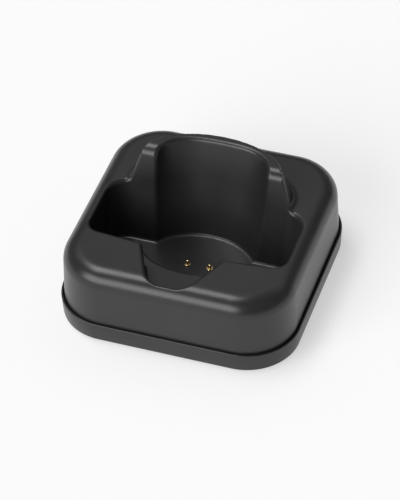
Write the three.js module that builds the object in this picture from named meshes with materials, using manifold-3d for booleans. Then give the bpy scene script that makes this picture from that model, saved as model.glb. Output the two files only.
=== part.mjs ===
// Charging stand for a cordless hair clipper, in millimetres, +Z up, front towards -Y.
// The origin is on the surface that the feet rest on, under the middle of the stand.
import * as THREE from "three";
import { mergeVertices } from "three/addons/utils/BufferGeometryUtils.js";
import Module from "manifold-3d";

const wasm = await Module();
wasm.setup();

// ---------------------------------------------------------------- driving dimensions
const FOOT_STAND = 0.6; // how far the feet hold the base plate off the table
const BASE_WIDTH = 100; // base plate at its underside; every other outline follows from it
const HALF_WIDTH = BASE_WIDTH / 2;
const WALL = 2.2;
const GAP = 0.3; // between two pieces that touch

// Heights above the base plate's underside.
const BASE_TOP = 8.45;
const BASE_FLOOR = 2;
const LEDGE = 5.2; // the shell's lower edge stands on this ledge inside the base plate's rim
const SHELL_LOW = LEDGE + GAP;
const SHELL_TOP = 33.9;
const POCKET_FLOOR = 8.5;
const COLLAR_TOP = 49.3;

const BASE_CORNER = 21.9;
const BASE_FLARE = 0.4; // the rim is this much wider at its top, on each side
const SHELL_INSET = 0.7;
const SHELL_HALF = HALF_WIDTH - SHELL_INSET;
const SHELL_CORNER = 21.3;
const SHELL_DRAFT = 0.9; // the shell's sides draw in by this much over their height
const SHELL_FILLET = 7.5;
const RIM_GAP = 0.3;

// Pocket in the top of the shell.
const POCKET_HALF = 41.7;
const POCKET_FRONT = -25.3; // in the middle
const POCKET_FRONT_SLANT = 0.08; // millimetres back for each millimetre sideways
const POCKET_FRONT_CORNER = 5;
const POCKET_BACK_CORNER = 9;
const BACK_REST_FOOT = 3; // y of the back rest's face at the pocket floor
const LEAN = 0.28; // millimetres back for each millimetre up, about 15.6 degrees

// Leaning socket that holds the clipper's end: an ellipse at its floor that gets squarer upwards.
const SOCKET_Y = -6;
const SOCKET_LOW = { x: 24, y: 18.7, squareness: 2 };
const SOCKET_HIGH = { x: 24.4, y: 20.9, squareness: 3 };

// Block in front of the socket. Its flat top is also the floor of the notch in the front lip.
const SHELF = 20.3;
const BLOCK_HALF = 25.5;
const BLOCK_BACK = -11;
const NOTCH_SIDE_START = { x: 16.8, y: -25 };
const NOTCH_SIDE_END = { x: 9.3, y: -41.5 };
const NOTCH_FRONT = { x: 6.5, y: -44.2 };
const NOTCH_DRAFT = 0.003; // how much the notch narrows for each millimetre down

// Collar that rises behind the socket.
const COLLAR_Y = 13;
const COLLAR_LOW = { x: 34.6, y: 22, squareness: 2 };
const COLLAR_HIGH = { x: 29.4, y: 16.9, squareness: 2 };

// Contact pins.
const PIN_X = 4.8;
const PIN_Y = -5.8;
const PIN_RISE = 2.3;
const PLUNGER_RADIUS = 0.8;
const PLUNGER_HEAD_RADIUS = 0.9;
const BARREL_RADIUS = 1.15;
const BARREL_BORE = 0.95;
const BARREL_MOUTH = 0.86;
const COLLAR_RING_RADIUS = 1.4;
const RING_HEIGHT = 0.4;

// Circuit board, carrier and their screws, under the pocket floor.
const BOARD = { low: 3.3, high: 4.1, halfX: 14, front: -11.4, back: 4.6 };
const CARRIER = { low: 4.4, high: 6.0, earHigh: 5.2, halfX: 13.4, bodyHalfX: 8, front: -10.6, back: -1.6 };
const CARRIER_SCREW_X = 10.8;

// Screws and feet under the base plate.
const CASE_SCREW_X = 22;
const CASE_SCREW_Y = 38;
const FOOT_CENTRE = 36;
const FOOT_RADIUS = 5.4;
const FOOT_RECESS = 1;

// Power socket in the back wall.
const INLET_Z = 17.4;
const INLET_BORE = 3.2;
const INLET_NOSE = 4.2;
const INLET_BACK_FACE = SHELL_HALF - SHELL_DRAFT - 0.2;
const INLET = { halfX: 4.8, halfZ: 5.2, front: 35, back: SHELL_HALF - WALL - 0.9 };

const ROUND_STEPS = 8; // straight steps in a quarter of a large corner
const OVAL_STEPS = 56;
const SMALL_ROUND_STEPS = 20;

const MIRRORED = [
  ["left", -1],
  ["right", 1],
];
const CORNERS = [
  ["front_left", -1, -1],
  ["front_right", 1, -1],
  ["back_left", -1, 1],
  ["back_right", 1, 1],
];

// ---------------------------------------------------------------- materials
function finish(color, roughness, metalness = 0) {
  return new THREE.MeshStandardMaterial({ color, roughness, metalness });
}
const blackPlastic = finish(0x1d1d1e, 0.45);
const basePlastic = finish(0x1b1b1c, 0.5);
const innerPlastic = finish(0x2a2a2c, 0.6);
const rubber = finish(0x121212, 0.9);
const gold = finish(0xd9a441, 0.25, 1);
const steel = finish(0xa9abad, 0.35, 1);
const boardGreen = finish(0x1f5a35, 0.5);
const redWire = finish(0xa31b1b, 0.5);
const blackWire = finish(0x151515, 0.5);

// ---------------------------------------------------------------- solids
// A three.js geometry as a solid that can be joined and cut.
function solid(geometry) {
  geometry.deleteAttribute("normal");
  geometry.deleteAttribute("uv");
  const merged = mergeVertices(geometry, 1e-4);
  const mesh = new wasm.Mesh({
    numProp: 3,
    vertProperties: new Float32Array(merged.attributes.position.array),
    triVerts: new Uint32Array(merged.index.array),
  });
  return new wasm.Manifold(mesh);
}

function geometryOf(body) {
  const mesh = body.getMesh();
  const geometry = new THREE.BufferGeometry();
  geometry.setAttribute("position", new THREE.BufferAttribute(mesh.vertProperties, mesh.numProp));
  geometry.setIndex(new THREE.BufferAttribute(mesh.triVerts, 1));
  geometry.computeVertexNormals();
  return geometry;
}

function named(name, body, material) {
  const mesh = new THREE.Mesh(geometryOf(body), material);
  mesh.name = name;
  return mesh;
}

function joined(bodies) {
  return bodies.reduce((sum, body) => sum.add(body));
}

function less(body, cuts) {
  return cuts.reduce((rest, cut) => rest.subtract(cut), body);
}

// Moves every vertex of a geometry to where the rule puts it.
function reshaped(geometry, rule) {
  const position = geometry.attributes.position;
  const point = new THREE.Vector3();
  for (let i = 0; i < position.count; i++) {
    point.fromBufferAttribute(position, i);
    rule(point);
    position.setXYZ(i, point.x, point.y, point.z);
  }
  return geometry;
}

function box(x0, x1, y0, y1, z0, z1) {
  const geometry = new THREE.BoxGeometry(x1 - x0, y1 - y0, z1 - z0);
  geometry.translate((x0 + x1) / 2, (y0 + y1) / 2, (z0 + z1) / 2);
  return solid(geometry);
}

function prism(shape, low, high, steps = ROUND_STEPS) {
  const settings = { depth: high - low, bevelEnabled: false, curveSegments: steps };
  return solid(new THREE.ExtrudeGeometry(shape, settings).translate(0, 0, low));
}

function cylinder(radius, x, y, low, high, steps = SMALL_ROUND_STEPS) {
  const geometry = new THREE.CylinderGeometry(radius, radius, high - low, steps);
  geometry.rotateX(Math.PI / 2).translate(x, y, (low + high) / 2);
  return solid(geometry);
}

// A solid of revolution about a vertical line, from pairs of radius and height.
function turned(profile, x = 0, y = 0, steps = SMALL_ROUND_STEPS) {
  const points = profile.map(([radius, height]) => new THREE.Vector2(radius, height));
  const geometry = new THREE.LatheGeometry(points, steps);
  return solid(geometry.rotateX(Math.PI / 2).translate(x, y, 0));
}

// The front edge may slant back from its middle to both sides.
function roundedRectangle(halfX, front, back, frontCorner, backCorner, slant = 0) {
  const shape = new THREE.Shape();
  const quarter = Math.PI / 2;
  const frontEnd = front + slant * (halfX - frontCorner);
  if (slant > 0) {
    shape.moveTo(0, front);
    shape.lineTo(halfX - frontCorner, frontEnd);
  }
  shape.absarc(halfX - frontCorner, frontEnd + frontCorner, frontCorner, -quarter, 0);
  shape.absarc(halfX - backCorner, back - backCorner, backCorner, 0, quarter);
  shape.absarc(backCorner - halfX, back - backCorner, backCorner, quarter, 2 * quarter);
  shape.absarc(frontCorner - halfX, frontEnd + frontCorner, frontCorner, 2 * quarter, 3 * quarter);
  return shape;
}

function roundedSquare(half, corner) {
  return roundedRectangle(half, -half, half, corner, corner);
}

// A rounded square block whose upper edge is rolled over and whose sides draw in by the draft.
function rolledBlock(half, corner, low, high, fillet, draft, steps) {
  const hidden = fillet + 1; // the lower rounding of the extrusion, cut off below
  const geometry = new THREE.ExtrudeGeometry(roundedSquare(half, corner), {
    depth: high - low + hidden - 2 * fillet,
    bevelEnabled: true,
    bevelThickness: fillet,
    bevelSize: fillet,
    bevelOffset: -fillet,
    bevelSegments: steps,
    curveSegments: ROUND_STEPS,
  });
  geometry.translate(0, 0, low - hidden + fillet);
  reshaped(geometry, (point) => {
    const scale = 1 - (draft * (point.z - low)) / (high - low) / half;
    point.x *= scale;
    point.y *= scale;
  });
  return solid(geometry).subtract(box(-2 * half, 2 * half, -2 * half, 2 * half, low - 3 * hidden, low));
}

// An oval column whose outline changes evenly with height, and which may lean back. An outline is a
// superellipse with half axes x and y: squareness 2 makes it an ellipse, and more makes it squarer.
function ovalColumn(y, low, high, lowZ, highZ, lean, from, to, grow = 0) {
  const geometry = new THREE.CylinderGeometry(1, 1, to - from, OVAL_STEPS);
  geometry.rotateX(Math.PI / 2).translate(0, 0, (from + to) / 2);
  reshaped(geometry, (point) => {
    const t = (point.z - lowZ) / (highZ - lowZ);
    const squareness = low.squareness + (high.squareness - low.squareness) * t;
    const squared = (share) => Math.sign(share) * Math.abs(share) ** (2 / squareness);
    point.x = squared(point.x) * (low.x + (high.x - low.x) * t + grow);
    point.y = squared(point.y) * (low.y + (high.y - low.y) * t + grow);
    point.y += y + lean * (point.z - lowZ);
  });
  return solid(geometry);
}

// ---------------------------------------------------------------- upper shell
// The open space of the pocket, or that space with a wall's thickness grown round it.
function pocketSpace(grow) {
  const floor = POCKET_FLOOR - grow;
  const ceiling = COLLAR_TOP + 10;
  const backCorner = POCKET_BACK_CORNER + grow;
  const leaning = new THREE.ExtrudeGeometry(
    roundedRectangle(POCKET_HALF + grow, -60, BACK_REST_FOOT + grow, backCorner, backCorner),
    { depth: ceiling - floor, bevelEnabled: false, curveSegments: ROUND_STEPS },
  );
  leaning.translate(0, 0, floor);
  reshaped(leaning, (point) => {
    point.y += LEAN * (point.z - POCKET_FLOOR);
  });
  const frontCorner = POCKET_FRONT_CORNER + grow;
  const upright = prism(
    roundedRectangle(
      POCKET_HALF + grow + 0.5,
      POCKET_FRONT - grow,
      60,
      frontCorner,
      frontCorner,
      POCKET_FRONT_SLANT,
    ),
    floor - 1,
    ceiling + 1,
  );
  const well = solid(leaning).intersect(upright);
  const block = box(grow - BLOCK_HALF, BLOCK_HALF - grow, -50, BLOCK_BACK - grow, floor - 2, SHELF - grow);
  const socket = ovalColumn(
    SOCKET_Y,
    SOCKET_LOW,
    SOCKET_HIGH,
    POCKET_FLOOR,
    COLLAR_TOP,
    LEAN,
    floor,
    ceiling,
    grow,
  );
  return well.subtract(block).add(socket).add(notch(grow));
}

// Finger notch in the front lip: narrower towards the front, and a little narrower towards its floor.
function notch(grow) {
  const back = NOTCH_SIDE_START.y + 4;
  const slant = (NOTCH_SIDE_START.x - NOTCH_SIDE_END.x) / (NOTCH_SIDE_START.y - NOTCH_SIDE_END.y);
  const backHalf = NOTCH_SIDE_START.x + slant * (back - NOTCH_SIDE_START.y) + grow;
  const side = NOTCH_SIDE_END.x + grow;
  const front = NOTCH_FRONT.y - grow;
  const shape = new THREE.Shape();
  shape.moveTo(backHalf, back);
  shape.lineTo(-backHalf, back);
  shape.lineTo(-side, NOTCH_SIDE_END.y);
  shape.quadraticCurveTo(-side + 1.2, front, -NOTCH_FRONT.x + 1, front);
  shape.lineTo(NOTCH_FRONT.x - 1, front);
  shape.quadraticCurveTo(side - 1.2, front, side, NOTCH_SIDE_END.y);
  shape.closePath();
  const settings = { depth: SHELL_TOP + 5 - SHELF + grow, bevelEnabled: false, curveSegments: ROUND_STEPS };
  const geometry = new THREE.ExtrudeGeometry(shape, settings).translate(0, 0, SHELF - grow);
  reshaped(geometry, (point) => {
    const scale = 1 + NOTCH_DRAFT * (point.z - SHELL_TOP);
    point.x *= scale;
    point.y = back + (point.y - back) * scale;
  });
  return solid(geometry);
}

function shellBlock(shrink) {
  const body = rolledBlock(
    SHELL_HALF - shrink,
    SHELL_CORNER - shrink,
    SHELL_LOW - shrink,
    SHELL_TOP - shrink,
    SHELL_FILLET - shrink,
    SHELL_DRAFT,
    4,
  );
  const collar = ovalColumn(
    COLLAR_Y,
    COLLAR_LOW,
    COLLAR_HIGH,
    SHELL_TOP,
    COLLAR_TOP,
    0,
    SHELL_TOP - 6,
    COLLAR_TOP - shrink,
    -shrink,
  );
  return body.add(collar);
}

function upperShell() {
  const hollow = shellBlock(WALL).subtract(pocketSpace(WALL));
  const skin = shellBlock(0).subtract(hollow);
  const caseBosses = CORNERS.map(([, sideX, sideY]) =>
    cylinder(3.5, sideX * CASE_SCREW_X, sideY * CASE_SCREW_Y, SHELL_LOW + GAP, SHELL_TOP - 1),
  );
  const carrierBosses = MIRRORED.map(([, side]) =>
    cylinder(2.2, side * CARRIER_SCREW_X, PIN_Y, CARRIER.earHigh + GAP, POCKET_FLOOR - 1),
  );
  const inletRibs = MIRRORED.map(([, side]) =>
    box(side * 3 - 0.8, side * 3 + 0.8, 36, 44, INLET_Z + INLET.halfZ + GAP, SHELL_TOP - 1.5),
  );
  const caseHoles = CORNERS.map(([, sideX, sideY]) =>
    cylinder(1.4, sideX * CASE_SCREW_X, sideY * CASE_SCREW_Y, 0, 15),
  );
  const carrierHoles = MIRRORED.map(([, side]) =>
    cylinder(0.85, side * CARRIER_SCREW_X, PIN_Y, 0, POCKET_FLOOR - 0.6, 12),
  );
  const pinHoles = MIRRORED.map(([, side]) =>
    cylinder(BARREL_RADIUS + 0.1, side * PIN_X, PIN_Y, 0, POCKET_FLOOR + 1),
  );
  const inletHole = alongY(INLET_NOSE + GAP, 40, 60, 24);
  return less(joined([skin, ...caseBosses, ...carrierBosses, ...inletRibs]), [
    pocketSpace(0),
    ...caseHoles,
    ...carrierHoles,
    ...pinHoles,
    inletHole,
  ]);
}

// A cylinder along y at the power socket's height.
function alongY(radius, front, back, steps = SMALL_ROUND_STEPS) {
  const geometry = new THREE.CylinderGeometry(radius, radius, back - front, steps);
  return solid(geometry.translate(0, (front + back) / 2, INLET_Z));
}

// ---------------------------------------------------------------- base plate
function basePlate() {
  const outside = new THREE.ExtrudeGeometry(roundedSquare(HALF_WIDTH, BASE_CORNER), {
    depth: BASE_TOP - 1,
    bevelEnabled: true,
    bevelThickness: 0.5,
    bevelSize: 0.5,
    bevelOffset: -0.5,
    bevelSegments: 2,
    curveSegments: ROUND_STEPS,
  });
  outside.translate(0, 0, 0.5);
  reshaped(outside, (point) => {
    const scale = 1 + (BASE_FLARE * point.z) / BASE_TOP / HALF_WIDTH;
    point.x *= scale;
    point.y *= scale;
  });
  const rimHalf = SHELL_HALF + RIM_GAP;
  const ledgeHalf = SHELL_HALF - 1.4;
  const rimSpace = prism(roundedSquare(rimHalf, SHELL_CORNER + RIM_GAP), LEDGE, BASE_TOP + 1);
  const traySpace = prism(roundedSquare(ledgeHalf, SHELL_CORNER - 1.4), BASE_FLOOR, BASE_TOP + 1);
  const screwPads = CORNERS.map(([, sideX, sideY]) =>
    cylinder(4.6, sideX * CASE_SCREW_X, sideY * CASE_SCREW_Y, BASE_FLOOR - 1, LEDGE + GAP - 0.1),
  );
  const inletPost = box(-4, 4, 38, 44, BASE_FLOOR - 1, INLET_Z - INLET.halfZ - GAP);
  const cuts = CORNERS.flatMap(([, sideX, sideY]) => [
    cylinder(FOOT_RADIUS + 0.2, sideX * FOOT_CENTRE, sideY * FOOT_CENTRE, -1, FOOT_RECESS, 28),
    cylinder(3, sideX * CASE_SCREW_X, sideY * CASE_SCREW_Y, -1, 2.7),
    cylinder(1.6, sideX * CASE_SCREW_X, sideY * CASE_SCREW_Y, -1, 10),
  ]);
  const tray = less(solid(outside), [rimSpace, traySpace]);
  return less(joined([tray, ...screwPads, inletPost]), cuts);
}

function foot(sideX, sideY) {
  const profile = [
    [0, -FOOT_STAND],
    [FOOT_RADIUS - 0.6, -FOOT_STAND],
    [FOOT_RADIUS, 0],
    [FOOT_RADIUS, FOOT_RECESS - 0.1],
    [0, FOOT_RECESS - 0.1],
  ];
  return turned(profile, sideX * FOOT_CENTRE, sideY * FOOT_CENTRE, 28);
}

// A pan head screw whose head points down, with a cross recess.
function screw(x, y, headLow, headHigh, headRadius, shankRadius, tip) {
  const body = turned(
    [
      [0, headLow],
      [headRadius * 0.7, headLow],
      [headRadius, headLow + (headHigh - headLow) * 0.45],
      [headRadius, headHigh],
      [shankRadius, headHigh],
      [shankRadius, tip - shankRadius],
      [0, tip],
    ],
    x,
    y,
    16,
  );
  const arm = headRadius * 0.55;
  const half = headRadius * 0.12;
  const depth = headLow + (headHigh - headLow) * 0.5;
  const crossA = box(x - arm, x + arm, y - half, y + half, headLow - 1, depth);
  const crossB = box(x - half, x + half, y - arm, y + arm, headLow - 1, depth);
  return less(body, [crossA, crossB]);
}

// ---------------------------------------------------------------- contact pins
const BARREL_LOW = CARRIER.low - 0.15;
const RING_TOP = POCKET_FLOOR + 0.05 + RING_HEIGHT;
const MOUTH_LOW = RING_TOP - 0.4;
const HEAD_TOP = MOUTH_LOW - 0.05;
const HEAD_LOW = HEAD_TOP - 0.9;
const BORE_LOW = BARREL_LOW + 0.3;

function pinBarrel(side) {
  const profile = [
    [0, BOARD.low - 0.6],
    [0.35, BOARD.low - 0.6],
    [0.35, BARREL_LOW],
    [BARREL_RADIUS, BARREL_LOW],
    [BARREL_RADIUS, POCKET_FLOOR + 0.05],
    [COLLAR_RING_RADIUS, POCKET_FLOOR + 0.05],
    [COLLAR_RING_RADIUS, RING_TOP - 0.15],
    [COLLAR_RING_RADIUS - 0.15, RING_TOP],
    [BARREL_MOUTH, RING_TOP],
    [BARREL_MOUTH, MOUTH_LOW],
    [BARREL_BORE, MOUTH_LOW],
    [BARREL_BORE, BORE_LOW],
    [0, BORE_LOW],
  ];
  return turned(profile, side * PIN_X, PIN_Y);
}

function pinPlunger(side) {
  const top = POCKET_FLOOR + PIN_RISE;
  const profile = [
    [0, HEAD_LOW],
    [PLUNGER_HEAD_RADIUS, HEAD_LOW],
    [PLUNGER_HEAD_RADIUS, HEAD_TOP],
    [PLUNGER_RADIUS, HEAD_TOP],
  ];
  const domeSteps = 5;
  for (let i = 0; i < domeSteps; i++) {
    const angle = (i / domeSteps) * (Math.PI / 2);
    profile.push([PLUNGER_RADIUS * Math.cos(angle), top - PLUNGER_RADIUS * (1 - Math.sin(angle))]);
  }
  profile.push([0, top]);
  return turned(profile, side * PIN_X, PIN_Y);
}

class Helix extends THREE.Curve {
  constructor(radius, low, high, turns) {
    super();
    Object.assign(this, { radius, low, high, turns });
  }
  getPoint(t, target = new THREE.Vector3()) {
    const angle = 2 * Math.PI * this.turns * t;
    const height = this.low + (this.high - this.low) * t;
    return target.set(this.radius * Math.cos(angle), this.radius * Math.sin(angle), height);
  }
}

// A round tube along a curve, with the number of sides and steps that its size needs.
function sweep(curve, radius, sides, steps) {
  const corners = Array.from({ length: sides }, (_, i) => {
    const angle = (2 * Math.PI * i) / sides;
    return new THREE.Vector2(radius * Math.cos(angle), radius * Math.sin(angle));
  });
  const settings = { steps, extrudePath: curve, bevelEnabled: false };
  return new THREE.ExtrudeGeometry(new THREE.Shape(corners), settings);
}

function pinSpring(side) {
  const wire = 0.09;
  const turns = 5;
  const coil = new Helix(0.62, BORE_LOW + wire + 0.04, HEAD_LOW - wire - 0.04, turns);
  return solid(sweep(coil, wire, 5, turns * 9).translate(side * PIN_X, PIN_Y, 0));
}

// ---------------------------------------------------------------- board and carrier
function contactCarrier() {
  const { low, high, earHigh, halfX, bodyHalfX, front, back } = CARRIER;
  const body = box(-bodyHalfX, bodyHalfX, front, back, low, high);
  const ears = box(-halfX, halfX, front + 1.5, back - 1.5, low, earHigh);
  const holes = MIRRORED.flatMap(([, side]) => [
    cylinder(BARREL_RADIUS + 0.05, side * PIN_X, PIN_Y, low - 1, high + 1),
    cylinder(1, side * CARRIER_SCREW_X, PIN_Y, low - 1, high + 1, 12),
  ]);
  return less(body.add(ears), holes);
}

function contactBoard() {
  const { low, high, halfX, front, back } = BOARD;
  const outline = roundedRectangle(halfX, front, back, 1, 1);
  const holes = MIRRORED.flatMap(([, side]) => [
    cylinder(0.5, side * PIN_X, PIN_Y, low - 1, high + 1, 12),
    cylinder(1, side * CARRIER_SCREW_X, PIN_Y, low - 1, high + 1, 12),
  ]);
  return less(prism(outline, low, high, 2), holes);
}

// ---------------------------------------------------------------- power socket
const LEAF_Z = INLET_Z - INLET_BORE + 0.5;
const LEAF_HALF = 0.8;
const LEAF_THICK = 0.3;
const TAIL_FRONT = INLET.front - 2.5;

function powerSocket() {
  const { halfX, halfZ, front, back } = INLET;
  const body = box(-halfX, halfX, front, back, INLET_Z - halfZ, INLET_Z + halfZ);
  const nose = alongY(INLET_NOSE, back - 1, INLET_BACK_FACE, 28);
  const bore = alongY(INLET_BORE, front + 1.5, INLET_BACK_FACE + 1, 28);
  const pinHole = alongY(0.85, front - 1, front + 2, 12);
  const slack = 0.15;
  const leafSlot = box(
    -LEAF_HALF - slack,
    LEAF_HALF + slack,
    front - 1,
    back - 1.2,
    LEAF_Z - 1.2,
    LEAF_Z + LEAF_THICK + slack,
  );
  return less(body.add(nose), [bore, pinHole, leafSlot]);
}

function powerSocketPin() {
  const shaft = alongY(1, INLET.front + 1.8, INLET_BACK_FACE - 1.6, 16);
  const tip = new THREE.SphereGeometry(1, 16, 8);
  const tail = alongY(0.7, TAIL_FRONT, INLET.front + 2.4, 16);
  return joined([shaft, solid(tip.translate(0, INLET_BACK_FACE - 1.6, INLET_Z)), tail]);
}

// A springy strip along the floor of the bore, drawn in y and z and given its width along x.
function powerSocketLeaf() {
  const y0 = TAIL_FRONT;
  const y1 = INLET.back - 1.6;
  const bow = LEAF_Z - 0.75;
  const centre = [
    [y0, LEAF_Z - 0.6],
    [INLET.front + 2.5, LEAF_Z - 0.6],
    [(INLET.front + y1) / 2 + 1, LEAF_Z],
    [y1, bow],
  ];
  const outline = centre.map(([y, z]) => new THREE.Vector2(y, z));
  const upper = centre.map(([y, z]) => new THREE.Vector2(y, z + LEAF_THICK)).reverse();
  const settings = { depth: 2 * LEAF_HALF, bevelEnabled: false };
  const strip = new THREE.ExtrudeGeometry(new THREE.Shape([...outline, ...upper]), settings);
  strip.rotateX(Math.PI / 2).rotateZ(Math.PI / 2).translate(-LEAF_HALF, 0, 0);
  return solid(strip);
}

// ---------------------------------------------------------------- wires
const WIRE_RADIUS = 0.55;
const WIRE_ON_BOARD = BOARD.high + WIRE_RADIUS + 0.15;

function leadWire(side, endX, endZ) {
  const route = [
    [side * 5, 0.6, WIRE_ON_BOARD],
    [side * 5, 7, WIRE_ON_BOARD],
    [side * 5, 15, WIRE_ON_BOARD + 0.3],
    [side * 4.4, 21, 7.5],
    [side * 3, 26, 11.5],
    [endX * 1.3, 30, endZ - 1],
    [endX, 32.5, endZ],
    [endX, INLET.front - 0.6, endZ],
  ];
  const curve = new THREE.CatmullRomCurve3(route.map(([x, y, z]) => new THREE.Vector3(x, y, z)));
  return solid(sweep(curve, WIRE_RADIUS, 8, 26));
}

// ---------------------------------------------------------------- assembly
const stand = new THREE.Group();
const onFeet = new THREE.Group();
onFeet.position.z = FOOT_STAND;
stand.add(onFeet);

onFeet.add(named("upper_shell", upperShell(), blackPlastic));
onFeet.add(named("base_plate", basePlate(), basePlastic));
onFeet.add(named("contact_carrier", contactCarrier(), innerPlastic));
onFeet.add(named("contact_board", contactBoard(), boardGreen));
for (const [place, sideX, sideY] of CORNERS) {
  const x = sideX * CASE_SCREW_X;
  const y = sideY * CASE_SCREW_Y;
  onFeet.add(named("foot_" + place, foot(sideX, sideY), rubber));
  onFeet.add(named("case_screw_" + place, screw(x, y, 0.5, 2.5, 2.6, 1.2, 13), steel));
}
for (const [place, side] of MIRRORED) {
  const x = side * CARRIER_SCREW_X;
  onFeet.add(named("pin_barrel_" + place, pinBarrel(side), gold));
  onFeet.add(named("pin_plunger_" + place, pinPlunger(side), gold));
  onFeet.add(named("pin_spring_" + place, pinSpring(side), steel));
  onFeet.add(named("carrier_screw_" + place, screw(x, PIN_Y, 2.3, 3.1, 1.6, 0.7, 7.6), steel));
}
onFeet.add(named("power_socket", powerSocket(), innerPlastic));
onFeet.add(named("power_socket_pin", powerSocketPin(), steel));
onFeet.add(named("power_socket_leaf", powerSocketLeaf(), steel));
onFeet.add(named("lead_wire_positive", leadWire(1, 1.6, INLET_Z), redWire));
onFeet.add(named("lead_wire_negative", leadWire(-1, -1.7, LEAF_Z - 0.5), blackWire));

export default stand;
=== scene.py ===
"""Charging stand for a cordless hair clipper: its looks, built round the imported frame.

Shapes are worked out in millimetres, with heights above the base plate's underside, as the part's own
source has them. metres() turns them into the frame's metres and lifts them by the feet's stand.
"""

import math

import bpy
import numpy as np
from mathutils import Matrix, Vector


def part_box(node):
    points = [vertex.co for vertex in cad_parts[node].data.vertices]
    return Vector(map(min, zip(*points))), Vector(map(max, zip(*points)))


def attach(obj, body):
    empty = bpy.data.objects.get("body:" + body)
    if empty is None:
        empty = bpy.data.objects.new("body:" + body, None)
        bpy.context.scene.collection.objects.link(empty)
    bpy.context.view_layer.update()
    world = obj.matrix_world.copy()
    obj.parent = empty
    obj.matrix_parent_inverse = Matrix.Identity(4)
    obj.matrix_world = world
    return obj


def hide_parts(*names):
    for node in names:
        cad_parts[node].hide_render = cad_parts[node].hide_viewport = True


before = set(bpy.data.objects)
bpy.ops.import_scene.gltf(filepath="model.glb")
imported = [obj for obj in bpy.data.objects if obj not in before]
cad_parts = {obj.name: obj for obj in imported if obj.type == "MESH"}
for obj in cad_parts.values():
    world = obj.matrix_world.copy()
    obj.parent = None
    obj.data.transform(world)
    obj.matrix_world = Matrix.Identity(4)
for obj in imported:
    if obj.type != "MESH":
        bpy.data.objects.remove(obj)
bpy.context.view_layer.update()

MM = 0.001
FOOT_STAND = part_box("base_plate")[0].z / MM
BODY = "stand"


def frame_mm(node):
    """A CAD node's lowest and highest corners, in millimetres above the base plate's underside."""
    low, high = (np.array(corner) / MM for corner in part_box(node))
    low[2] -= FOOT_STAND
    high[2] -= FOOT_STAND
    return low, high


shell_low, shell_high = frame_mm("upper_shell")
base_low, base_high = frame_mm("base_plate")

# ---------------------------------------------------------------- shell dimensions, in millimetres
SHELL_HALF = shell_high[0]
SHELL_LOW = shell_low[2]
COLLAR_TOP = shell_high[2]
SHELL_TOP = 33.9
SHELL_CORNER = 21.3
SHELL_DRAFT = 0.9 / (SHELL_TOP - SHELL_LOW)
SHELL_FILLET = 7.5
WALL = 2.2

POCKET_FLOOR = 8.5
POCKET_HALF = 41.7
POCKET_FRONT = -25.3
POCKET_FRONT_SLANT = 0.08
POCKET_FRONT_CORNER = 5.0
POCKET_BACK_CORNER = 9.0
POCKET_DRAFT = 0.03
BACK_REST_FOOT = 3.0
LEAN = 0.28

SOCKET_Y = -6.0
SOCKET_LOW = (24.0, 18.7, 2.0)
SOCKET_HIGH = (24.4, 20.9, 3.0)

SHELF = 20.3
BLOCK_HALF = 25.5
BLOCK_BACK = -11.0
NOTCH_SIDE_START = (16.8, -25.0)
NOTCH_SIDE_END = (9.3, -41.5)
NOTCH_FRONT = -44.2
NOTCH_CORNER = 4.0
NOTCH_DRAFT = 0.05
NOTCH_MOUTH = 0.6

COLLAR_Y = 13.0
COLLAR_LOW = (34.6, 22.0)
COLLAR_HIGH = (29.4, 16.9)
COLLAR_FOOT = 2.2

LIP_EDGE = 1.6
FLANK_EDGE = 0.9
SHOULDER = 3.9
SOCKET_RIM = 1.3
COLLAR_EDGE = 0.35
CRISP_EDGE = 0.5
FLOOR_FILLET = 1.0

SKIN_CELL = 0.66
HOLLOW_CELL = 1.6

# ---------------------------------------------------------------- dimensions of the other pieces
BASE_HALF = base_high[0]
BASE_TOP = 8.45
BASE_FLARE = 0.4
BASE_CORNER = 22.1
BASE_FLOOR = 2.0
LEDGE = 5.2
RIM_GAP = 0.3
GAP = 0.3

PIN_X = 4.8
PIN_Y = -5.8
PIN_HOLE = 1.25
CASE_SCREW = (22.0, 38.0)
BOSS = 3.5
PILOT_HOLE = 1.4
PILOT_TOP = 15.0
FOOT = (36.0, 36.0)
INLET_Z = 17.4
INLET_BORE = 3.2
INLET_NOSE = 4.2

SIDES = (("left", -1), ("right", 1))
CORNERS = [(f"{row}_{side}", x, y) for row, y in (("front", -1), ("back", 1)) for side, x in SIDES]


# ---------------------------------------------------------------- fields: negative inside, about a distance
def round_max(a, b, radius):
    """Where both a and b are inside, with the edge between them rounded."""
    over = np.hypot(np.maximum(a + radius, 0), np.maximum(b + radius, 0))
    return np.minimum(np.maximum(a, b), -radius) + over


def round_min(a, b, radius):
    """Where a or b is inside, with the hollow corner between them filled to a radius."""
    return -round_max(-a, -b, radius)


def rounded_rectangle(x, y, half, front, back, corner):
    qx = np.abs(x) - (half - corner)
    qy = np.abs(y - (front + back) / 2) - ((back - front) / 2 - corner)
    outside = np.hypot(np.maximum(qx, 0), np.maximum(qy, 0))
    return outside + np.minimum(np.maximum(qx, qy), 0) - corner


def oval(x, y, a, b, squareness):
    """A superellipse with half axes a and b: squareness 2 makes it an ellipse, and more makes it squarer."""
    u, v = np.abs(x) / a, np.abs(y) / b
    reach = np.maximum(u**squareness + v**squareness, 1e-6) ** (1 / squareness)
    steepness = np.hypot(u ** (squareness - 1) / a, v ** (squareness - 1) / b) * reach ** (1 - squareness)
    return (reach - 1) / np.maximum(steepness, 1e-3)


def between(low, high, share):
    """Each of the low numbers, moved towards its high number by the share."""
    return [a + (b - a) * share for a, b in zip(low, high)]


def block_field(x, y, z):
    half = SHELL_HALF - SHELL_DRAFT * (z - SHELL_LOW)
    side = rounded_rectangle(x, y, half, -half, half, SHELL_CORNER)
    return round_max(side, z - SHELL_TOP, SHELL_FILLET)


def collar_field(x, y, z):
    a, b = between(COLLAR_LOW, COLLAR_HIGH, (z - SHELL_TOP) / (COLLAR_TOP - SHELL_TOP))
    return oval(x, y - COLLAR_Y, a, b, 2)


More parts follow.
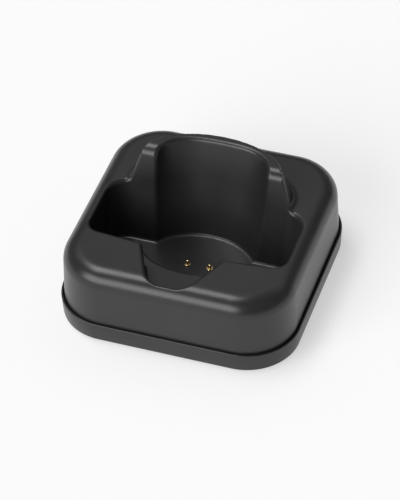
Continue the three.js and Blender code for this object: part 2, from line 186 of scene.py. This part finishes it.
def notch_field(x, y, z):
    """The finger notch in the front lip, without its floor."""
    along = np.array(NOTCH_SIDE_START) - NOTCH_SIDE_END
    along /= np.linalg.norm(along)
    narrowing = NOTCH_DRAFT * (SHELL_TOP - z)
    side = along[1] * (np.abs(x) - NOTCH_SIDE_START[0]) - along[0] * (y - NOTCH_SIDE_START[1]) + narrowing
    front = NOTCH_FRONT - y + narrowing
    return np.maximum(round_max(side, front, NOTCH_CORNER), y - NOTCH_SIDE_START[1] - 8)


def well_field(x, y, z):
    """The wide part of the pocket: two wings beside the block, with the notch in the front lip."""
    leaning_y = y - LEAN * (z - POCKET_FLOOR)
    half = POCKET_HALF - POCKET_DRAFT * (SHELL_TOP - np.minimum(z, SHELL_TOP))
    unslanted_y = y - POCKET_FRONT_SLANT * np.abs(x)
    front = rounded_rectangle(x, unslanted_y, half, POCKET_FRONT, 90.0, POCKET_FRONT_CORNER)
    back = rounded_rectangle(x, leaning_y, half, -90.0, BACK_REST_FOOT, POCKET_BACK_CORNER)
    well = round_min(np.maximum(front, back), notch_field(x, y, z), NOTCH_MOUTH)
    block = round_max(round_max(np.abs(x) - BLOCK_HALF, y - BLOCK_BACK, 2), z - SHELF, CRISP_EDGE)
    return round_max(well, -block, FLOOR_FILLET)


def socket_field(x, y, z):
    """The leaning socket that takes the clipper's end, without its floor."""
    up = z - POCKET_FLOOR
    a, b, squareness = between(SOCKET_LOW, SOCKET_HIGH, np.maximum(up, 0) / (COLLAR_TOP - POCKET_FLOOR))
    return oval(x, y - LEAN * up - SOCKET_Y, a, b, squareness)


def pocket_field(x, y, z):
    """The open space that the clipper stands in."""
    space = round_min(well_field(x, y, z), socket_field(x, y, z), CRISP_EDGE)
    return round_max(space, POCKET_FLOOR - z, FLOOR_FILLET)


def shell_field(x, y, z):
    """The upper shell without its hollow underside."""
    outside = round_min(block_field(x, y, z), collar_field(x, y, z), COLLAR_FOOT)
    outside = round_max(outside, z - COLLAR_TOP, COLLAR_EDGE)
    edge = LIP_EDGE + (FLANK_EDGE - LIP_EDGE) * np.clip((z - SHELL_TOP) / 2, 0, 1)
    lips = round_max(outside, -pocket_field(x, y, z), edge)
    below = POCKET_FLOOR + 4 - z
    shoulders = round_max(z - COLLAR_TOP, -np.maximum(well_field(x, y, z), below), SHOULDER)
    rim = round_max(shoulders, -np.maximum(socket_field(x, y, z), below), SOCKET_RIM)
    return np.maximum(np.maximum(lips, rim), SHELL_LOW - z)


def hollow_field(x, y, z):
    """The space inside the shell, a wall's thickness from every outer face."""
    solid = np.minimum(block_field(x, y, z), np.maximum(collar_field(x, y, z), z - COLLAR_TOP))
    return np.maximum(solid + WALL, WALL - pocket_field(x, y, z))


# ---------------------------------------------------------------- surfaces from fields
def gradient(field, points, step=0.01):
    columns = []
    for axis in range(3):
        shift = np.zeros(3)
        shift[axis] = step
        ahead = field(*(points + shift).T)
        behind = field(*(points - shift).T)
        columns.append((ahead - behind) / (2 * step))
    return np.stack(columns, 1)


def settled(field, points, limit):
    """Points moved onto the field's zero surface, none further than the limit."""
    moved = points.copy()
    for _ in range(6):
        slope = gradient(field, moved)
        size = np.maximum((slope**2).sum(1), 0.05)
        moved -= slope * (field(*moved.T) / size)[:, None]
    far = np.linalg.norm(moved - points, axis=1) > limit
    moved[far] = points[far]
    return moved


def surface_net(field, low, high, cell):
    """Vertices and outward quads on the zero surface of a field, one vertex for each cell that it crosses."""
    counts = [int(math.ceil((high[i] - low[i]) / cell)) + 1 for i in range(3)]
    centre = [(low[i] + high[i]) / 2 for i in range(3)]
    axes = [centre[i] + cell * (np.arange(counts[i]) - (counts[i] - 1) / 2) for i in range(3)]
    value = field(*np.meshgrid(*axes, indexing="ij"))
    inside = value < 0
    corners = [(i, j, k) for i in (0, 1) for j in (0, 1) for k in (0, 1)]
    shape = tuple(n - 1 for n in value.shape)
    window = {c: tuple(slice(c[i], c[i] + shape[i]) for i in range(3)) for c in corners}
    filled = sum(inside[window[c]].astype(np.int8) for c in corners)
    cells = np.argwhere((filled > 0) & (filled < 8))
    number = np.full(shape, -1, np.int64)
    number[tuple(cells.T)] = np.arange(len(cells))

    total = np.zeros((len(cells), 3))
    crossings = np.zeros(len(cells))
    for start in corners:
        for axis in range(3):
            if start[axis]:
                continue
            end = tuple(start[i] + (i == axis) for i in range(3))
            a = value[tuple((cells + start).T)]
            b = value[tuple((cells + end).T)]
            crossed = (a < 0) != (b < 0)
            share = np.where(crossed, a / np.where(crossed, a - b, 1), 0)
            point = np.tile(np.array(start, float), (len(cells), 1))
            point[:, axis] = share
            total += point * crossed[:, None]
            crossings += crossed
    origin = np.array([axis[0] for axis in axes])
    points = origin + cell * (cells + total / crossings[:, None])

    quads = []
    for axis in range(3):
        u, v = (axis + 1) % 3, (axis + 2) % 3
        near = np.take(inside, range(value.shape[axis] - 1), axis)
        far = np.take(inside, range(1, value.shape[axis]), axis)
        edges = np.argwhere(near != far)
        edges = edges[(edges[:, u] > 0) & (edges[:, v] > 0)]
        edges = edges[(edges[:, u] < shape[u]) & (edges[:, v] < shape[v])]
        ring = []
        for du, dv in ((1, 1), (0, 1), (0, 0), (1, 0)):
            step = np.zeros(3, int)
            step[u], step[v] = du, dv
            ring.append(number[tuple((edges - step).T)])
        quad = np.stack(ring, 1)
        facing_back = ~near[tuple(edges.T)]
        quad[facing_back] = quad[facing_back][:, ::-1]
        quads.append(quad)
    return settled(field, points, cell), np.concatenate(quads)


def metres(points):
    return (np.asarray(points, float) + (0, 0, FOOT_STAND)) * MM


def mesh_object(name, points, faces):
    mesh = bpy.data.meshes.new(name)
    mesh.from_pydata(metres(points).tolist(), [], [[int(i) for i in face] for face in faces])
    mesh.validate()
    made = bpy.data.objects.new(name, mesh)
    bpy.context.scene.collection.objects.link(made)
    return made


def smooth(piece, angle=35):
    piece.data.polygons.foreach_set("use_smooth", [True] * len(piece.data.polygons))
    piece.data.set_sharp_from_angle(angle=math.radians(angle))


def combine(piece, tool, operation):
    """Cuts or joins a tool to a piece and removes the tool.

    Where the inputs aren't manifold, Blender prints a warning and leaves the piece as it was. Only an empty
    result stops the script.
    """
    modifier = piece.modifiers.new(operation, "BOOLEAN")
    modifier.operation = operation
    modifier.solver = "MANIFOLD"
    modifier.object = tool
    bpy.context.view_layer.update()
    graph = bpy.context.evaluated_depsgraph_get()
    result = bpy.data.meshes.new_from_object(piece.evaluated_get(graph))
    if not len(result.polygons):
        raise RuntimeError(f"{operation} of {tool.name} with {piece.name} came out empty")
    piece.modifiers.clear()
    old = piece.data
    piece.data = result
    bpy.data.meshes.remove(old)
    bpy.data.objects.remove(tool)


def cut(piece, *tools):
    for tool in tools:
        combine(piece, tool, "DIFFERENCE")


def join(piece, *tools):
    for tool in tools:
        combine(piece, tool, "UNION")


def arc(centre, radius, start, end, steps=6):
    """Points of an arc in a profile's plane, angles in degrees."""
    angles = [math.radians(start + (end - start) * i / steps) for i in range(steps + 1)]
    return [(centre[0] + radius * math.cos(t), centre[1] + radius * math.sin(t)) for t in angles]


def lofted(name, rings):
    """A closed solid through rings of points, all with the same count, with a flat cap on each end."""
    count = len(rings[0])
    points = [point for ring in rings for point in ring]
    faces = [list(range(count))[::-1], [len(points) - count + i for i in range(count)]]
    for row in range(len(rings) - 1):
        for i in range(count):
            j = (i + 1) % count
            low, high = row * count, (row + 1) * count
            faces.append([low + i, low + j, high + j, high + i])
    return mesh_object(name, points, faces)


def turned(name, profile, centre=(0, 0), steps=48, along_y=False):
    """A closed solid of revolution, from pairs of radius and height that start and end on the axis.

    It stands on the point (x, y) of centre, or lies along y with its axis at (x, z) of centre.
    """
    points, rows, faces = [], [], []
    for radius, height in profile:
        count = steps if radius > 1e-6 else 1
        rows.append([len(points) + i for i in range(count)])
        angles = [2 * math.pi * i / steps for i in range(count)]
        points += [(radius * math.cos(t), radius * math.sin(t), height) for t in angles]
    for lower, upper in zip(rows, rows[1:]):
        for i in range(steps):
            j = (i + 1) % steps
            ends = lower[i % len(lower)], lower[j % len(lower)], upper[j % len(upper)], upper[i % len(upper)]
            face = list(dict.fromkeys(ends))
            if len(face) > 2:
                faces.append(face)
    x, y, height = np.array(points).T
    if along_y:
        placed = np.stack([centre[0] + x, height, centre[1] - y], 1)
    else:
        placed = np.stack([centre[0] + x, centre[1] + y, height], 1)
    return mesh_object(name, placed, faces)


def cylinder(radius, centre, low, high, steps=48, along_y=False):
    profile = [(0, low), (radius, low), (radius, high), (0, high)]
    return turned("cylinder", profile, centre, steps, along_y)


def block(low, high):
    """A box between two corners."""
    (x0, y0, z0), (x1, y1, z1) = low, high
    rings = [[(x0, y0, z), (x1, y0, z), (x1, y1, z), (x0, y1, z)] for z in (z0, z1)]
    return lofted("block", rings)


def rounded_square(half, corner, z, corner_steps=20, side_steps=6):
    """A ring of points round a square with rounded corners, anticlockwise from the right side."""
    ring = []
    for quarter in range(4):
        turn = math.pi / 2 * quarter
        cos, sin = math.cos(turn), math.sin(turn)
        side = [(half, (half - corner) * (2 * i / side_steps - 1)) for i in range(side_steps)]
        bend = arc((half - corner, half - corner), corner, 0, 90, corner_steps)[:-1]
        ring += [(x * cos - y * sin, x * sin + y * cos, z) for x, y in side + bend]
    return ring


def show(piece, slot, material, *nodes, body=BODY):
    """Hands a piece to the frame: its body, its material and the CAD nodes that it stands for. The slot is
    not used.
    """
    piece.data.materials.clear()
    piece.data.materials.append(material)
    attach(piece, body)
    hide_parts(*nodes)


# ---------------------------------------------------------------- materials
def plain_shader(name, color, roughness, metallic=0.0):
    material = bpy.data.materials.new(name)
    material.use_nodes = True
    shader = material.node_tree.nodes["Principled BSDF"]
    shader.inputs["Base Color"].default_value = (*color, 1)
    shader.inputs["Roughness"].default_value = roughness
    shader.inputs["Metallic"].default_value = metallic
    return material, shader


def noise(material, scale, detail=2.0):
    """A noise pattern in the object's own metres, scale giving its grains for each metre."""
    tree = material.node_tree
    place = tree.nodes.new("ShaderNodeTexCoord")
    pattern = tree.nodes.new("ShaderNodeTexNoise")
    pattern.inputs["Scale"].default_value = scale
    pattern.inputs["Detail"].default_value = detail
    tree.links.new(place.outputs["Object"], pattern.inputs["Vector"])
    return pattern.outputs["Fac"]


def spread(material, factor, low, high):
    """Maps a pattern's middle range onto low to high."""
    tree = material.node_tree
    ramp = tree.nodes.new("ShaderNodeMapRange")
    ramp.inputs["From Min"].default_value = 0.3
    ramp.inputs["From Max"].default_value = 0.7
    ramp.inputs["To Min"].default_value = low
    ramp.inputs["To Max"].default_value = high
    tree.links.new(factor, ramp.inputs["Value"])
    return ramp.outputs["Result"]


def bumped(material, shader, factor, height_mm, strength=1.0):
    tree = material.node_tree
    bump = tree.nodes.new("ShaderNodeBump")
    bump.inputs["Distance"].default_value = height_mm * MM
    bump.inputs["Strength"].default_value = strength
    tree.links.new(factor, bump.inputs["Height"])
    tree.links.new(bump.outputs["Normal"], shader.inputs["Normal"])


def tinted(material, shader, factor, dark, light):
    """Drifts the base colour between two tones."""
    tree = material.node_tree
    mix = tree.nodes.new("ShaderNodeMix")
    mix.data_type = "RGBA"
    mix.inputs["A"].default_value = (*dark, 1)
    mix.inputs["B"].default_value = (*light, 1)
    tree.links.new(factor, mix.inputs["Factor"])
    tree.links.new(mix.outputs["Result"], shader.inputs["Base Color"])


def grained_plastic(name, tone, roughness, grain_mm=0.5):
    """Moulded plastic with a fine spark-eroded grain and a slow drift in tone and gloss."""
    material, shader = plain_shader(name, tone, roughness)
    drift = noise(material, 60, 3)
    dark = [0.9 * c for c in tone]
    light = [1.12 * c for c in tone]
    tinted(material, shader, spread(material, drift, 0, 1), dark, light)
    tree = material.node_tree
    tree.links.new(spread(material, drift, roughness - 0.02, roughness + 0.02), shader.inputs["Roughness"])
    bumped(material, shader, noise(material, 1 / (grain_mm * MM), 3), 0.012)
    return material


def plated_metal(name, tone, roughness):
    """Plated metal with faint handling marks: its gloss drifts and its surface is very slightly uneven."""
    material, shader = plain_shader(name, tone, roughness, 1.0)
    tree = material.node_tree
    marks = noise(material, 900, 4)
    tree.links.new(spread(material, marks, 0.7 * roughness, 1.4 * roughness), shader.inputs["Roughness"])
    bumped(material, shader, noise(material, 2500, 2), 0.002)
    return material


def soft_insulation(name, tone):
    """Soft PVC with a slight sheen and a slow drift in tone."""
    material, shader = plain_shader(name, tone, 0.5)
    tinted(material, shader, spread(material, noise(material, 250, 2), 0, 1), [0.85 * c for c in tone], tone)
    bumped(material, shader, noise(material, 3000, 2), 0.004)
    return material


def rubber(name, tone):
    """Matt rubber: dull, with a fine pitted face."""
    material, shader = plain_shader(name, tone, 0.85)
    shader.inputs["Specular IOR Level"].default_value = 0.3
    tinted(material, shader, spread(material, noise(material, 700, 4), 0, 1), [0.8 * c for c in tone], tone)
    bumped(material, shader, noise(material, 4000, 3), 0.02)
    return material


def laminate(name, mask, glass):
    """Glass fibre board: green solder mask over a faint weave."""
    material, shader = plain_shader(name, mask, 0.35)
    tree = material.node_tree
    place = tree.nodes.new("ShaderNodeTexCoord")
    weave = tree.nodes.new("ShaderNodeTexBrick")
    weave.inputs["Scale"].default_value = 900
    weave.inputs["Color1"].default_value = (*mask, 1)
    weave.inputs["Color2"].default_value = (*[0.85 * c for c in mask], 1)
    weave.inputs["Mortar"].default_value = (*glass, 1)
    tree.links.new(place.outputs["Object"], weave.inputs["Vector"])
    tree.links.new(weave.outputs["Color"], shader.inputs["Base Color"])
    return material


shell_plastic = grained_plastic("shell_plastic", (0.019, 0.019, 0.020), 0.31)
base_plastic = grained_plastic("base_plastic", (0.019, 0.019, 0.020), 0.33)
inner_plastic = grained_plastic("inner_plastic", (0.030, 0.030, 0.032), 0.5, 0.5)
foot_rubber = rubber("foot_rubber", (0.02, 0.02, 0.02))
contact_gold = plated_metal("contact_gold", (0.95, 0.76, 0.42), 0.14)
screw_steel = plated_metal("screw_steel", (0.55, 0.55, 0.56), 0.3)
inlet_metal = plated_metal("inlet_metal", (0.62, 0.62, 0.60), 0.22)
board_laminate = laminate("board_laminate", (0.02, 0.16, 0.06), (0.05, 0.22, 0.09))
red_insulation = soft_insulation("red_insulation", (0.5, 0.02, 0.02))
black_insulation = soft_insulation("black_insulation", (0.02, 0.02, 0.02))


# ---------------------------------------------------------------- upper shell
def give_field_normals(piece, field, near=0.02, agree=0.85):
    """Shades the parts of a piece that lie on a field's surface with the field's own slope."""
    mesh = piece.data
    points = np.empty(len(mesh.vertices) * 3)
    mesh.vertices.foreach_get("co", points)
    points = points.reshape(-1, 3) / MM - (0, 0, FOOT_STAND)
    slope = gradient(field, points)
    slope /= np.maximum(np.linalg.norm(slope, axis=1), 1e-9)[:, None]
    on_surface = np.abs(field(*points.T)) < near
    corners = np.empty(len(mesh.loops) * 3)
    mesh.corner_normals.foreach_get("vector", corners)
    corners = corners.reshape(-1, 3)
    vertex = np.empty(len(mesh.loops), np.int32)
    mesh.loops.foreach_get("vertex_index", vertex)
    better = on_surface[vertex] & ((corners * slope[vertex]).sum(1) > agree)
    corners[better] = slope[vertex][better]
    mesh.normals_split_custom_set(corners.tolist())


def build_upper_shell():
    margin = 1.0
    low = shell_low - margin
    high = shell_high + margin
    shell = mesh_object("upper_shell_skin", *surface_net(shell_field, low, high, SKIN_CELL))
    low[2] = SHELL_LOW - 3
    # Known fault: Blender skips this cut because its inputs are non-manifold, so the shell stays solid.
    cut(shell, mesh_object("hollow", *surface_net(hollow_field, low, high, HOLLOW_CELL)))
    for _, x, y in CORNERS:
        place = (x * CASE_SCREW[0], y * CASE_SCREW[1])
        boss = cylinder(BOSS, place, SHELL_LOW + GAP, SHELL_TOP - 1)
        cut(boss, cylinder(PILOT_HOLE, place, SHELL_LOW - 1, PILOT_TOP))
        join(shell, boss)
    cut(shell, cylinder(INLET_NOSE + GAP, (0, INLET_Z), SHELL_HALF - 5, SHELL_HALF + 5, along_y=True))
    for _, side in SIDES:
        cut(shell, cylinder(PIN_HOLE, (side * PIN_X, PIN_Y), POCKET_FLOOR - 6, POCKET_FLOOR + 3, 32))
    smooth(shell)
    give_field_normals(shell, shell_field)
    return shell


upper_shell = build_upper_shell()
show(upper_shell, "shell_plastic", shell_plastic, "upper_shell")


# ---------------------------------------------------------------- base plate, feet and screws
def build_base_plate():
    """A tray with a rim, lofted through rounded squares, with a softened upper and lower edge."""
    foot_edge, lip_edge = 0.5, 0.35
    bottom = BASE_HALF - BASE_FLARE
    sections = [(bottom + x, z) for x, z in arc((-foot_edge, foot_edge), foot_edge, -90, 0)]
    sections += [(BASE_HALF + x, BASE_TOP + z) for x, z in arc((-lip_edge, -lip_edge), lip_edge, 0, 90)]
    rim = SHELL_HALF + RIM_GAP
    ledge = SHELL_HALF - 1.4
    sections += [(rim + x, BASE_TOP + z) for x, z in arc((0.1, -0.1), 0.1, 90, 180, 3)]
    sections += [(rim, LEDGE), (ledge, LEDGE), (ledge, BASE_FLOOR)]
    rings = [rounded_square(half, BASE_CORNER - (BASE_HALF - half), z) for half, z in sections]
    plate = lofted("base_plate_tray", rings)
    for _, x, y in CORNERS:
        screw = (x * CASE_SCREW[0], y * CASE_SCREW[1])
        foot = (x * FOOT[0], y * FOOT[1])
        join(plate, cylinder(4.6, screw, BASE_FLOOR - 1, LEDGE + 0.2))
        counterbore = [(0, -1), (4.0, -1), (3.0, 0.35), (3.0, 2.7), (1.6, 2.7), (1.6, 9), (0, 9)]
        cut(plate, turned("counterbore", counterbore, screw))
        cut(plate, cylinder(5.6, foot, -1, 1, 64))
    post_top = INLET_Z - 5.2 - GAP
    join(plate, block((-4, 38, BASE_FLOOR - 1), (4, 44, post_top)))
    smooth(plate)
    return plate


def build_foot(name, x, y):
    """A rubber pad with a rounded edge and a shallow ring in its underside."""
    low, radius, top = -FOOT_STAND, 5.4, 0.9
    profile = [(0, low + 0.12), (2.0, low + 0.12)]
    profile += arc((2.4, low + 0.12), 0.12, 180, 270, 3)[1:]
    profile += [(4.4, low)]
    profile += [(radius - 0.9 + dx, low + 0.5 + dz) for dx, dz in arc((0.3, 0), 0.5, -90, -20)]
    profile += [(radius, 0.1), (radius, top - 0.1), (radius - 0.1, top), (0, top)]
    pad = turned(name, profile, (x, y), 64)
    smooth(pad)
    return pad


def build_case_screw(name, x, y):
    """A pan head screw, head down, with a cross recess and a cutting thread."""
    head, tall, low = 2.6, 2.0, 0.5
    profile = [(0, low)]
    profile += [(head - 0.9 + dx, low + 0.9 + dz) for dx, dz in arc((0, 0), 0.9, -90, 0, 8)]
    profile += [(head, low + tall), (1.2, low + tall)]
    z = low + tall + 0.3
    while z < 12.0:
        profile += [(1.0, z), (1.35, z + 0.25), (1.35, z + 0.33), (1.0, z + 0.6)]
        z += 0.85
    profile += [(0.9, 12.3), (0, 13.0)]
    screw = turned(name, profile, (x, y), 40)
    for along_x in (True, False):
        wide, narrow = 1.35, 0.3
        rings = []
        for z, grow in ((low - 0.5, 0.15), (low + 1.2, -0.08)):
            a, b = (wide + 3 * grow, narrow + grow) if along_x else (narrow + grow, wide + 3 * grow)
            rings.append([(x - a, y - b, z), (x + a, y - b, z), (x + a, y + b, z), (x - a, y + b, z)])
        cut(screw, lofted("recess", rings))
    smooth(screw)
    return screw


show(build_base_plate(), "base_plastic", base_plastic, "base_plate")
for corner, sign_x, sign_y in CORNERS:
    pad = build_foot(f"foot_pad_{corner}", sign_x * FOOT[0], sign_y * FOOT[1])
    show(pad, "foot_rubber", foot_rubber, f"foot_{corner}")
    screw = build_case_screw(f"case_screw_body_{corner}", sign_x * CASE_SCREW[0], sign_y * CASE_SCREW[1])
    show(screw, "screw_steel", screw_steel, f"case_screw_{corner}")


# ---------------------------------------------------------------- contact pins
def build_barrel(name, x):
    """The pin's sleeve: a tube through the floor, with a rounded ring that sits on the floor."""
    radius, ring, mouth, bore = 1.15, 1.4, 0.86, 0.95
    low, tail = 4.25, 2.7
    ring_low = POCKET_FLOOR + 0.05
    ring_top = ring_low + 0.4
    profile = [(0, tail), (0.27, tail), (0.35, tail + 0.08), (0.35, low), (radius, low), (radius, ring_low)]
    profile += [(ring, ring_low)]
    profile += [(ring - 0.16 + dx, ring_top - 0.16 + dz) for dx, dz in arc((0, 0), 0.16, 0, 90)]
    profile += [(mouth + 0.08, ring_top), (mouth, ring_top - 0.08), (mouth, ring_top - 0.4)]
    profile += [(bore, ring_top - 0.45), (bore, low + 0.3), (0, low + 0.3)]
    barrel = turned(name, profile, (x, PIN_Y), 56)
    smooth(barrel, 30)
    return barrel


def build_plunger(name, x):
    """The moving pin: a shoulder inside the sleeve and a domed tip."""
    low, high = frame_mm("pin_plunger_left")[0][2], frame_mm("pin_plunger_left")[1][2]
    radius, shoulder, shoulder_tall = 0.8, 0.9, 0.88
    profile = [(0, low), (shoulder, low), (shoulder, low + shoulder_tall), (radius, low + shoulder_tall)]
    profile += arc((0, high - radius), radius, 0, 90, 12)
    profile[-1] = (0, high)
    plunger = turned(name, profile, (x, PIN_Y), 48)
    smooth(plunger, 40)
    return plunger


for side, sign in SIDES:
    barrel = build_barrel(f"pin_sleeve_{side}", sign * PIN_X)
    show(barrel, "contact_gold", contact_gold, f"pin_barrel_{side}")
    plunger = build_plunger(f"pin_tip_{side}", sign * PIN_X)
    show(plunger, "contact_gold", contact_gold, f"pin_plunger_{side}", body=f"plunger_{side}")


# ---------------------------------------------------------------- power socket
def build_power_socket():
    """A moulded block inside the shell with a round nose that fills the hole in the back wall."""
    low, high = frame_mm("power_socket")
    front, back, shoulder = low[1], high[1], SHELL_HALF - WALL - 0.9
    half_x, half_z = high[0], (high[2] - low[2]) / 2
    body = block((-half_x, front, INLET_Z - half_z), (half_x, shoulder, INLET_Z + half_z))
    edge = 0.25
    nose = [(0, shoulder - 1), (INLET_NOSE, shoulder - 1)]
    nose += [(INLET_NOSE - edge + dr, back - edge + dy) for dr, dy in arc((0, 0), edge, 0, 90)]
    nose += [(0, back)]
    join(body, turned("nose", nose, (0, INLET_Z), 64, along_y=True))
    bore = [(0, front + 1.5), (INLET_BORE, front + 1.5), (INLET_BORE, back - 0.3)]
    bore += [(INLET_BORE + 0.3, back), (INLET_BORE + 0.3, back + 1), (0, back + 1)]
    cut(body, turned("bore", bore, (0, INLET_Z), 64, along_y=True))
    leaf_low, leaf_high = frame_mm("power_socket_leaf")
    slot_low = (leaf_low[0] - 0.15, front - 1, leaf_low[2] - 0.15)
    slot_high = (leaf_high[0] + 0.15, shoulder - 1.2, leaf_high[2] + 0.15)
    cut(body, block(slot_low, slot_high))
    cut(body, cylinder(0.85, (0, INLET_Z), front - 1, front + 2, along_y=True))
    smooth(body)
    return body


def build_socket_pin():
    low, high = frame_mm("power_socket_pin")
    shaft = 1.0
    start = frame_mm("power_socket")[0][1] + 1.8
    profile = [(0, low[1]), (0.7, low[1]), (0.7, start), (shaft, start)]
    profile += [(r, y) for r, y in arc((0, high[1] - shaft), shaft, 0, 90, 10)]
    profile[-1] = (0, high[1])
    pin = turned("power_socket_centre_pin", profile, (0, INLET_Z), 40, along_y=True)
    smooth(pin, 40)
    return pin


show(build_power_socket(), "inner_plastic", inner_plastic, "power_socket")
show(build_socket_pin(), "inlet_metal", inlet_metal, "power_socket_pin")


# ---------------------------------------------------------------- pieces that keep their CAD shape
def finish_node(node, material):
    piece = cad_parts[node]
    piece.data.materials.clear()
    piece.data.materials.append(material)


for side, _ in SIDES:
    finish_node(f"pin_spring_{side}", screw_steel)
    finish_node(f"carrier_screw_{side}", screw_steel)
finish_node("contact_carrier", inner_plastic)
finish_node("contact_board", board_laminate)
finish_node("power_socket_leaf", inlet_metal)
finish_node("lead_wire_positive", red_insulation)
finish_node("lead_wire_negative", black_insulation)

# ---------------------------------------------------------------- studio
CAMERA_AZIMUTH = math.radians(20.065)
CAMERA_ELEVATION = math.radians(43.13)
CAMERA_ROLL = math.radians(-2.223)
CAMERA_DISTANCE = 1.0855
CAMERA_TARGET = Vector((-0.00327, 0.00548, 0.00669 + FOOT_STAND * MM))
FOCAL_MM = 188.65


def build_camera():
    data = bpy.data.cameras.new("camera")
    data.lens = FOCAL_MM
    camera = bpy.data.objects.new("camera", data)
    bpy.context.scene.collection.objects.link(camera)
    flat = math.cos(CAMERA_ELEVATION)
    aside, ahead = math.sin(CAMERA_AZIMUTH) * flat, math.cos(CAMERA_AZIMUTH) * flat
    back = Vector((aside, -ahead, math.sin(CAMERA_ELEVATION)))
    camera.location = CAMERA_TARGET + CAMERA_DISTANCE * back
    turn = back.to_track_quat("Z", "Y").to_matrix() @ Matrix.Rotation(CAMERA_ROLL, 3, "Z")
    camera.rotation_euler = turn.to_euler()
    bpy.context.scene.camera = camera


# A few softboxes in a dim room. Each has its azimuth from and to, its elevation from and to,
# and its radiance. Azimuths are in degrees from +Y towards +X, and run from -240 to 120. What a box has
# beyond those ends lights nothing.
FRONT_BOX = (-180, -128, 10, 40, 5.0)
TOP_BOX = (-125, -45, 62, 80, 8.0)
BACK_WALL = (-80, 55, 38, 62, 0.55)
ROOM = (-250, 130, -5, 100, 0.15)
SOFT_EDGE = 6
AZIMUTH_START = -240
FLOOR_SIZE = 12
FLOOR_GREY = 0.55
FLOOR_GLOW = 0.5


def build_floor():
    bpy.ops.mesh.primitive_plane_add(size=FLOOR_SIZE)
    floor = bpy.context.object
    floor.name = "floor"
    material, shader = plain_shader("floor", (FLOOR_GREY,) * 3, 1.0)
    shader.inputs["Specular IOR Level"].default_value = 0.0
    shader.inputs["Emission Color"].default_value = (1, 1, 1, 1)
    shader.inputs["Emission Strength"].default_value = FLOOR_GLOW
    floor.data.materials.append(material)


def build_world():
    """Lights the scene with the softboxes and the room, each with soft edges."""
    world = bpy.data.worlds.new("studio")
    world.use_nodes = True
    tree = world.node_tree

    def math_node(operation, *values):
        node = tree.nodes.new("ShaderNodeMath")
        node.operation = operation
        for socket, value in zip(node.inputs, values):
            if isinstance(value, (int, float)):
                socket.default_value = value
            else:
                tree.links.new(value, socket)
        return node.outputs[0]

    def step(value, edge, start, end):
        node = tree.nodes.new("ShaderNodeMapRange")
        node.interpolation_type = "SMOOTHSTEP"
        node.inputs["From Min"].default_value = math.radians(edge - SOFT_EDGE)
        node.inputs["From Max"].default_value = math.radians(edge + SOFT_EDGE)
        node.inputs["To Min"].default_value = start
        node.inputs["To Max"].default_value = end
        tree.links.new(value, node.inputs["Value"])
        return node.outputs["Result"]

    place = tree.nodes.new("ShaderNodeTexCoord")
    parts = tree.nodes.new("ShaderNodeSeparateXYZ")
    tree.links.new(place.outputs["Generated"], parts.inputs["Vector"])
    x, y, z = parts.outputs
    turn = math.radians(-180 - AZIMUTH_START)
    ahead = math_node("MULTIPLY_ADD", x, math.cos(turn), math_node("MULTIPLY", y, math.sin(turn)))
    aside = math_node("MULTIPLY_ADD", y, math.cos(turn), math_node("MULTIPLY", x, -math.sin(turn)))
    azimuth = math_node("SUBTRACT", math_node("ARCTAN2", ahead, aside), turn)
    elevation = math_node("ARCSINE", z)
    total = 0.0
    for az_low, az_high, el_low, el_high, radiance in (FRONT_BOX, TOP_BOX, BACK_WALL, ROOM):
        across = math_node("MULTIPLY", step(azimuth, az_low, 0, radiance), step(azimuth, az_high, 1, 0))
        upright = math_node("MULTIPLY", step(elevation, el_low, 0, 1), step(elevation, el_high, 1, 0))
        total = math_node("MULTIPLY_ADD", across, upright, total)
    tree.links.new(total, tree.nodes["Background"].inputs["Strength"])
    tree.nodes["Background"].inputs["Color"].default_value = (1, 1, 1, 1)
    bpy.context.scene.world = world


build_camera()
build_floor()
build_world()
bpy.context.scene.view_settings.view_transform = "Standard"
